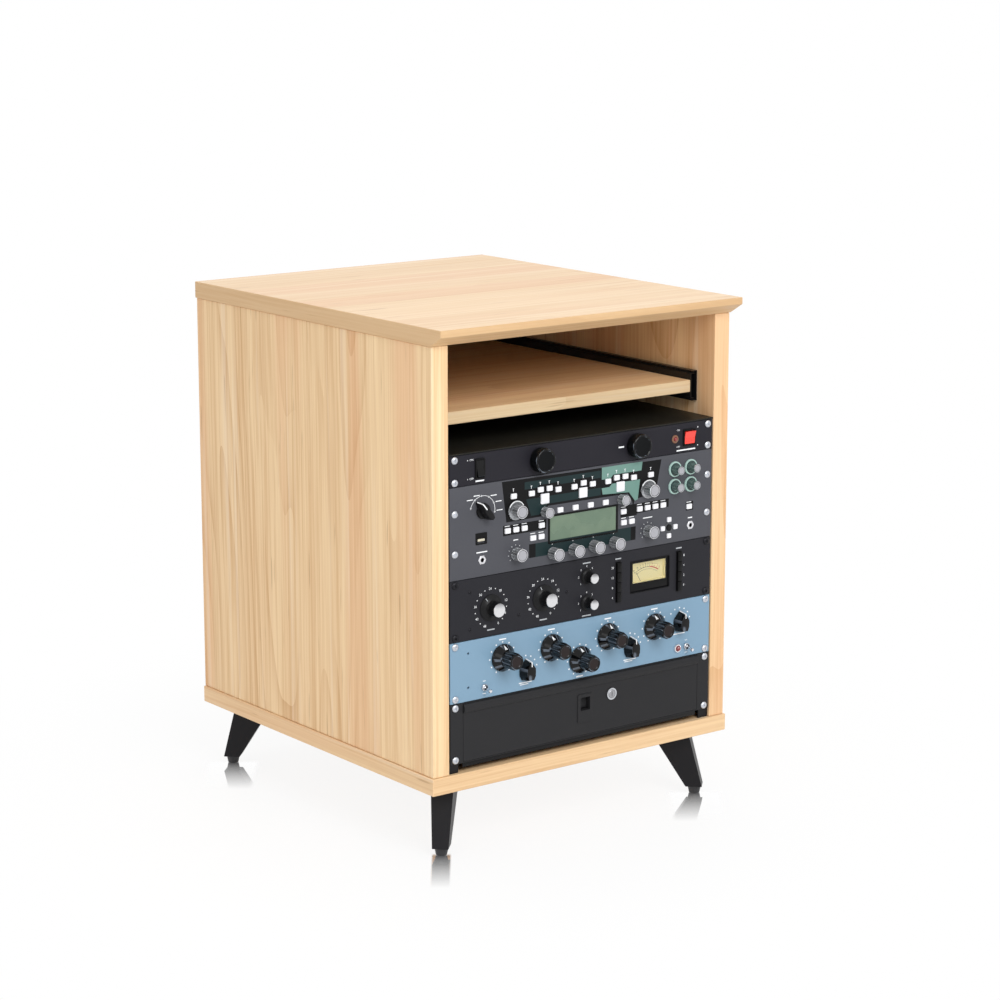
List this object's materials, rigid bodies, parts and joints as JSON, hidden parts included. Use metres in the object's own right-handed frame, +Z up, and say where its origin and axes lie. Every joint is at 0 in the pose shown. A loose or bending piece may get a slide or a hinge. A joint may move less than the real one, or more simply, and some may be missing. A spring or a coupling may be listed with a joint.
{
  "type": "studio rack table",
  "caption": "Wooden studio rack table on splayed legs: an undercut desktop, a pull-out shelf on telescopic slides and a bay of 19 inch rack gear with a drawer.",
  "frame": {"origin": "on the floor, under the middle of the bounding box", "axes": "+Z up, +Y towards the back, +X to the right seen from the front"},
  "size_m": [0.5484, 0.644, 0.7645],
  "materials": {
    "maple": "light maple laminate, satin",
    "black_board": "black laminated fibreboard, matt",
    "black_sheet": "black paint, satin",
    "black_steel": "black powder coat, satin",
    "slide_steel": "black oxide, satin",
    "foot": "black, matt",
    "conditioner_paint": "blue-black paint, satin",
    "light_cap": "black, satin",
    "black_rocker": "black, gloss",
    "red_rocker": "red lens, gloss",
    "modeller_paint": "dark grey paint, satin",
    "selector": "black, satin",
    "silver_cap": "spun cap on a black grip",
    "compressor_finish": "black anodised look, satin",
    "equaliser_paint": "light steel blue paint, satin",
    "black_knob": "black phenolic, gloss",
    "toggle_metal": "polished",
    "drawer_paint": "black powder coat, satin",
    "lock_metal": "polished"
  },
  "bodies": {
    "cabinet": {"top_panel": "maple", "side_panel_left": "maple", "side_panel_right": "maple", "bottom_panel": "maple", "back_panel": "black_board", "rack_divider": "black_sheet", "rack_rail_left": "black_steel", "rack_rail_right": "black_steel", "slide_outer_left": "slide_steel", "slide_outer_right": "slide_steel", "leg_front_left": "black_steel", "leg_front_right": "black_steel", "leg_rear_left": "black_steel", "leg_rear_right": "black_steel", "conditioner_unit": "conditioner_paint", "modeller_unit": "modeller_paint", "compressor_unit": "compressor_finish", "equaliser_unit": "equaliser_paint", "drawer_housing": "drawer_paint"},
    "shelf": {"shelf_board": "maple", "slide_inner_left": "slide_steel", "slide_inner_right": "slide_steel"},
    "slide_middle": {"slide_middle_left": "slide_steel", "slide_middle_right": "slide_steel"},
    "drawer": {"drawer_tray": "drawer_paint"},
    "foot_front_left": {"foot_front_left": "foot"},
    "foot_front_right": {"foot_front_right": "foot"},
    "foot_rear_left": {"foot_rear_left": "foot"},
    "foot_rear_right": {"foot_rear_right": "foot"},
    "light_tube_left": {"light_tube_left": "light_cap"},
    "light_tube_right": {"light_tube_right": "light_cap"},
    "power_rocker": {"power_rocker": "black_rocker"},
    "outlet_rocker": {"outlet_rocker": "red_rocker"},
    "selector_knob": {"selector_knob": "selector"},
    "gain_knob": {"gain_knob": "silver_cap"},
    "volume_knob": {"volume_knob": "silver_cap"},
    "type_knob": {"type_knob": "silver_cap"},
    "value_knob": {"value_knob": "silver_cap"},
    "browse_knob": {"browse_knob": "silver_cap"},
    "master_knob": {"master_knob": "silver_cap"},
    "soft_knob_1": {"soft_knob_1": "silver_cap"},
    "soft_knob_2": {"soft_knob_2": "silver_cap"},
    "soft_knob_3": {"soft_knob_3": "silver_cap"},
    "soft_knob_4": {"soft_knob_4": "silver_cap"},
    "input_knob": {"input_knob": "silver_cap"},
    "output_knob": {"output_knob": "silver_cap"},
    "attack_knob": {"attack_knob": "silver_cap"},
    "release_knob": {"release_knob": "silver_cap"},
    "low_boost_knob": {"low_boost_knob": "black_knob"},
    "low_atten_knob": {"low_atten_knob": "black_knob"},
    "bandwidth_knob": {"bandwidth_knob": "black_knob"},
    "high_boost_knob": {"high_boost_knob": "black_knob"},
    "high_atten_knob": {"high_atten_knob": "black_knob"},
    "low_frequency_knob": {"low_frequency_knob": "black_knob"},
    "high_frequency_knob": {"high_frequency_knob": "black_knob"},
    "atten_select_knob": {"atten_select_knob": "black_knob"},
    "in_toggle": {"in_toggle": "toggle_metal"},
    "power_toggle": {"power_toggle": "toggle_metal"},
    "drawer_latch": {"drawer_latch": "drawer_paint"},
    "drawer_lock": {"drawer_lock": "lock_metal"}
  },
  "joints": [
    {"name": "shelf_slide", "type": "slide", "parent": "cabinet", "child": "shelf", "axis": [0, -1, 0], "range_m": [0, 0.45]},
    {"name": "slide_middle_slide", "type": "slide", "parent": "cabinet", "child": "slide_middle", "axis": [0, -1, 0], "range_m": [0, 0.225]},
    {"name": "drawer_slide", "type": "slide", "parent": "cabinet", "child": "drawer", "axis": [0, -1, 0], "range_m": [0, 0.28]},
    {"name": "foot_front_left_turn", "type": "hinge", "parent": "cabinet", "child": "foot_front_left", "pos_m": [-0.23902, -0.26252, 0], "axis": [0, 0, 1], "continuous": true},
    {"name": "foot_front_right_turn", "type": "hinge", "parent": "cabinet", "child": "foot_front_right", "pos_m": [0.23902, -0.26252, 0], "axis": [0, 0, 1], "continuous": true},
    {"name": "foot_rear_left_turn", "type": "hinge", "parent": "cabinet", "child": "foot_rear_left", "pos_m": [-0.23902, 0.29552, 0], "axis": [0, 0, 1], "continuous": true},
    {"name": "foot_rear_right_turn", "type": "hinge", "parent": "cabinet", "child": "foot_rear_right", "pos_m": [0.23902, 0.29552, 0], "axis": [0, 0, 1], "continuous": true},
    {"name": "light_tube_left_slide", "type": "slide", "parent": "cabinet", "child": "light_tube_left", "axis": [0, -1, 0], "range_m": [0, 0.09]},
    {"name": "light_tube_right_slide", "type": "slide", "parent": "cabinet", "child": "light_tube_right", "axis": [0, -1, 0], "range_m": [0, 0.09]},
    {"name": "power_rocker_turn", "type": "hinge", "parent": "cabinet", "child": "power_rocker", "pos_m": [-0.1887, -0.2882, 0.56088], "axis": [1, 0, 0], "range_deg": [0, 16]},
    {"name": "outlet_rocker_turn", "type": "hinge", "parent": "cabinet", "child": "outlet_rocker", "pos_m": [0.1966, -0.2882, 0.56088], "axis": [1, 0, 0], "range_deg": [-16, 0]},
    {"name": "selector_knob_turn", "type": "hinge", "parent": "cabinet", "child": "selector_knob", "pos_m": [-0.1839, -0.2882, 0.4999], "axis": [0, -1, 0], "range_deg": [-195, 105]},
    {"name": "gain_knob_turn", "type": "hinge", "parent": "cabinet", "child": "gain_knob", "pos_m": [-0.1255, -0.2882, 0.4926], "axis": [0, -1, 0], "continuous": true},
    {"name": "volume_knob_turn", "type": "hinge", "parent": "cabinet", "child": "volume_knob", "pos_m": [0.118, -0.2882, 0.4926], "axis": [0, -1, 0], "continuous": true},
    {"name": "type_knob_turn", "type": "hinge", "parent": "cabinet", "child": "type_knob", "pos_m": [-0.074, -0.2882, 0.4841], "axis": [0, -1, 0], "continuous": true},
    {"name": "value_knob_turn", "type": "hinge", "parent": "cabinet", "child": "value_knob", "pos_m": [0.0665, -0.2882, 0.4841], "axis": [0, -1, 0], "continuous": true},
    {"name": "browse_knob_turn", "type": "hinge", "parent": "cabinet", "child": "browse_knob", "pos_m": [0.118, -0.2882, 0.4301], "axis": [0, -1, 0], "continuous": true},
    {"name": "master_knob_turn", "type": "hinge", "parent": "cabinet", "child": "master_knob", "pos_m": [-0.1255, -0.2882, 0.4301], "axis": [0, -1, 0], "continuous": true},
    {"name": "soft_knob_1_turn", "type": "hinge", "parent": "cabinet", "child": "soft_knob_1", "pos_m": [-0.0597, -0.2882, 0.4219], "axis": [0, -1, 0], "continuous": true},
    {"name": "soft_knob_2_turn", "type": "hinge", "parent": "cabinet", "child": "soft_knob_2", "pos_m": [-0.022, -0.2882, 0.4219], "axis": [0, -1, 0], "continuous": true},
    {"name": "soft_knob_3_turn", "type": "hinge", "parent": "cabinet", "child": "soft_knob_3", "pos_m": [0.0157, -0.2882, 0.4219], "axis": [0, -1, 0], "continuous": true},
    {"name": "soft_knob_4_turn", "type": "hinge", "parent": "cabinet", "child": "soft_knob_4", "pos_m": [0.0534, -0.2882, 0.4219], "axis": [0, -1, 0], "continuous": true},
    {"name": "input_knob_turn", "type": "hinge", "parent": "cabinet", "child": "input_knob", "pos_m": [-0.1696, -0.2882, 0.3581], "axis": [0, -1, 0], "range_deg": [-150, 150]},
    {"name": "output_knob_turn", "type": "hinge", "parent": "cabinet", "child": "output_knob", "pos_m": [-0.0756, -0.2882, 0.3581], "axis": [0, -1, 0], "range_deg": [-150, 150]},
    {"name": "attack_knob_turn", "type": "hinge", "parent": "cabinet", "child": "attack_knob", "pos_m": [0.004, -0.2882, 0.3781], "axis": [0, -1, 0], "range_deg": [-150, 150]},
    {"name": "release_knob_turn", "type": "hinge", "parent": "cabinet", "child": "release_knob", "pos_m": [0.004, -0.2882, 0.3392], "axis": [0, -1, 0], "range_deg": [-150, 150]},
    {"name": "low_boost_knob_turn", "type": "hinge", "parent": "cabinet", "child": "low_boost_knob", "pos_m": [-0.1487, -0.2882, 0.2821], "axis": [0, -1, 0], "range_deg": [-190, 110]},
    {"name": "low_atten_knob_turn", "type": "hinge", "parent": "cabinet", "child": "low_atten_knob", "pos_m": [-0.0608, -0.2882, 0.2826], "axis": [0, -1, 0], "range_deg": [-160, 140]},
    {"name": "bandwidth_knob_turn", "type": "hinge", "parent": "cabinet", "child": "bandwidth_knob", "pos_m": [-0.008, -0.2882, 0.2561], "axis": [0, -1, 0], "range_deg": [-130, 170]},
    {"name": "high_boost_knob_turn", "type": "hinge", "parent": "cabinet", "child": "high_boost_knob", "pos_m": [0.0443, -0.2882, 0.2823], "axis": [0, -1, 0], "range_deg": [-155, 145]},
    {"name": "high_atten_knob_turn", "type": "hinge", "parent": "cabinet", "child": "high_atten_knob", "pos_m": [0.1331, -0.2882, 0.2831], "axis": [0, -1, 0], "range_deg": [-135, 165]},
    {"name": "low_frequency_knob_turn", "type": "hinge", "parent": "cabinet", "child": "low_frequency_knob", "pos_m": [-0.108, -0.2882, 0.2569], "axis": [0, -1, 0], "range_deg": [-15, 75]},
    {"name": "high_frequency_knob_turn", "type": "hinge", "parent": "cabinet", "child": "high_frequency_knob", "pos_m": [0.086, -0.2882, 0.2591], "axis": [0, -1, 0], "range_deg": [-50, 130]},
    {"name": "atten_select_knob_turn", "type": "hinge", "parent": "cabinet", "child": "atten_select_knob", "pos_m": [0.1812, -0.2882, 0.2831], "axis": [0, -1, 0], "range_deg": [-20, 40]},
    {"name": "in_toggle_turn", "type": "hinge", "parent": "cabinet", "child": "in_toggle", "pos_m": [-0.1815, -0.28985, 0.2438], "axis": [1, 0, 0], "range_deg": [0, 22]},
    {"name": "power_toggle_turn", "type": "hinge", "parent": "cabinet", "child": "power_toggle", "pos_m": [0.1957, -0.28985, 0.243], "axis": [1, 0, 0], "range_deg": [0, 22]},
    {"name": "drawer_latch_turn", "type": "hinge", "parent": "drawer", "child": "drawer_latch", "pos_m": [0.002, -0.2787, 0.18045], "axis": [1, 0, 0], "range_deg": [0, 20], "stiffness_Nm_per_rad": 0.03, "springref_deg": -11.46},
    {"name": "drawer_lock_turn", "type": "hinge", "parent": "drawer", "child": "drawer_lock", "pos_m": [0.0518, -0.2882, 0.1943], "axis": [0, -1, 0], "range_deg": [0, 90]}
  ],
  "couplings": [
    {"joint": "slide_middle_slide", "follows": "shelf_slide", "ratio": 0.5}
  ]
}
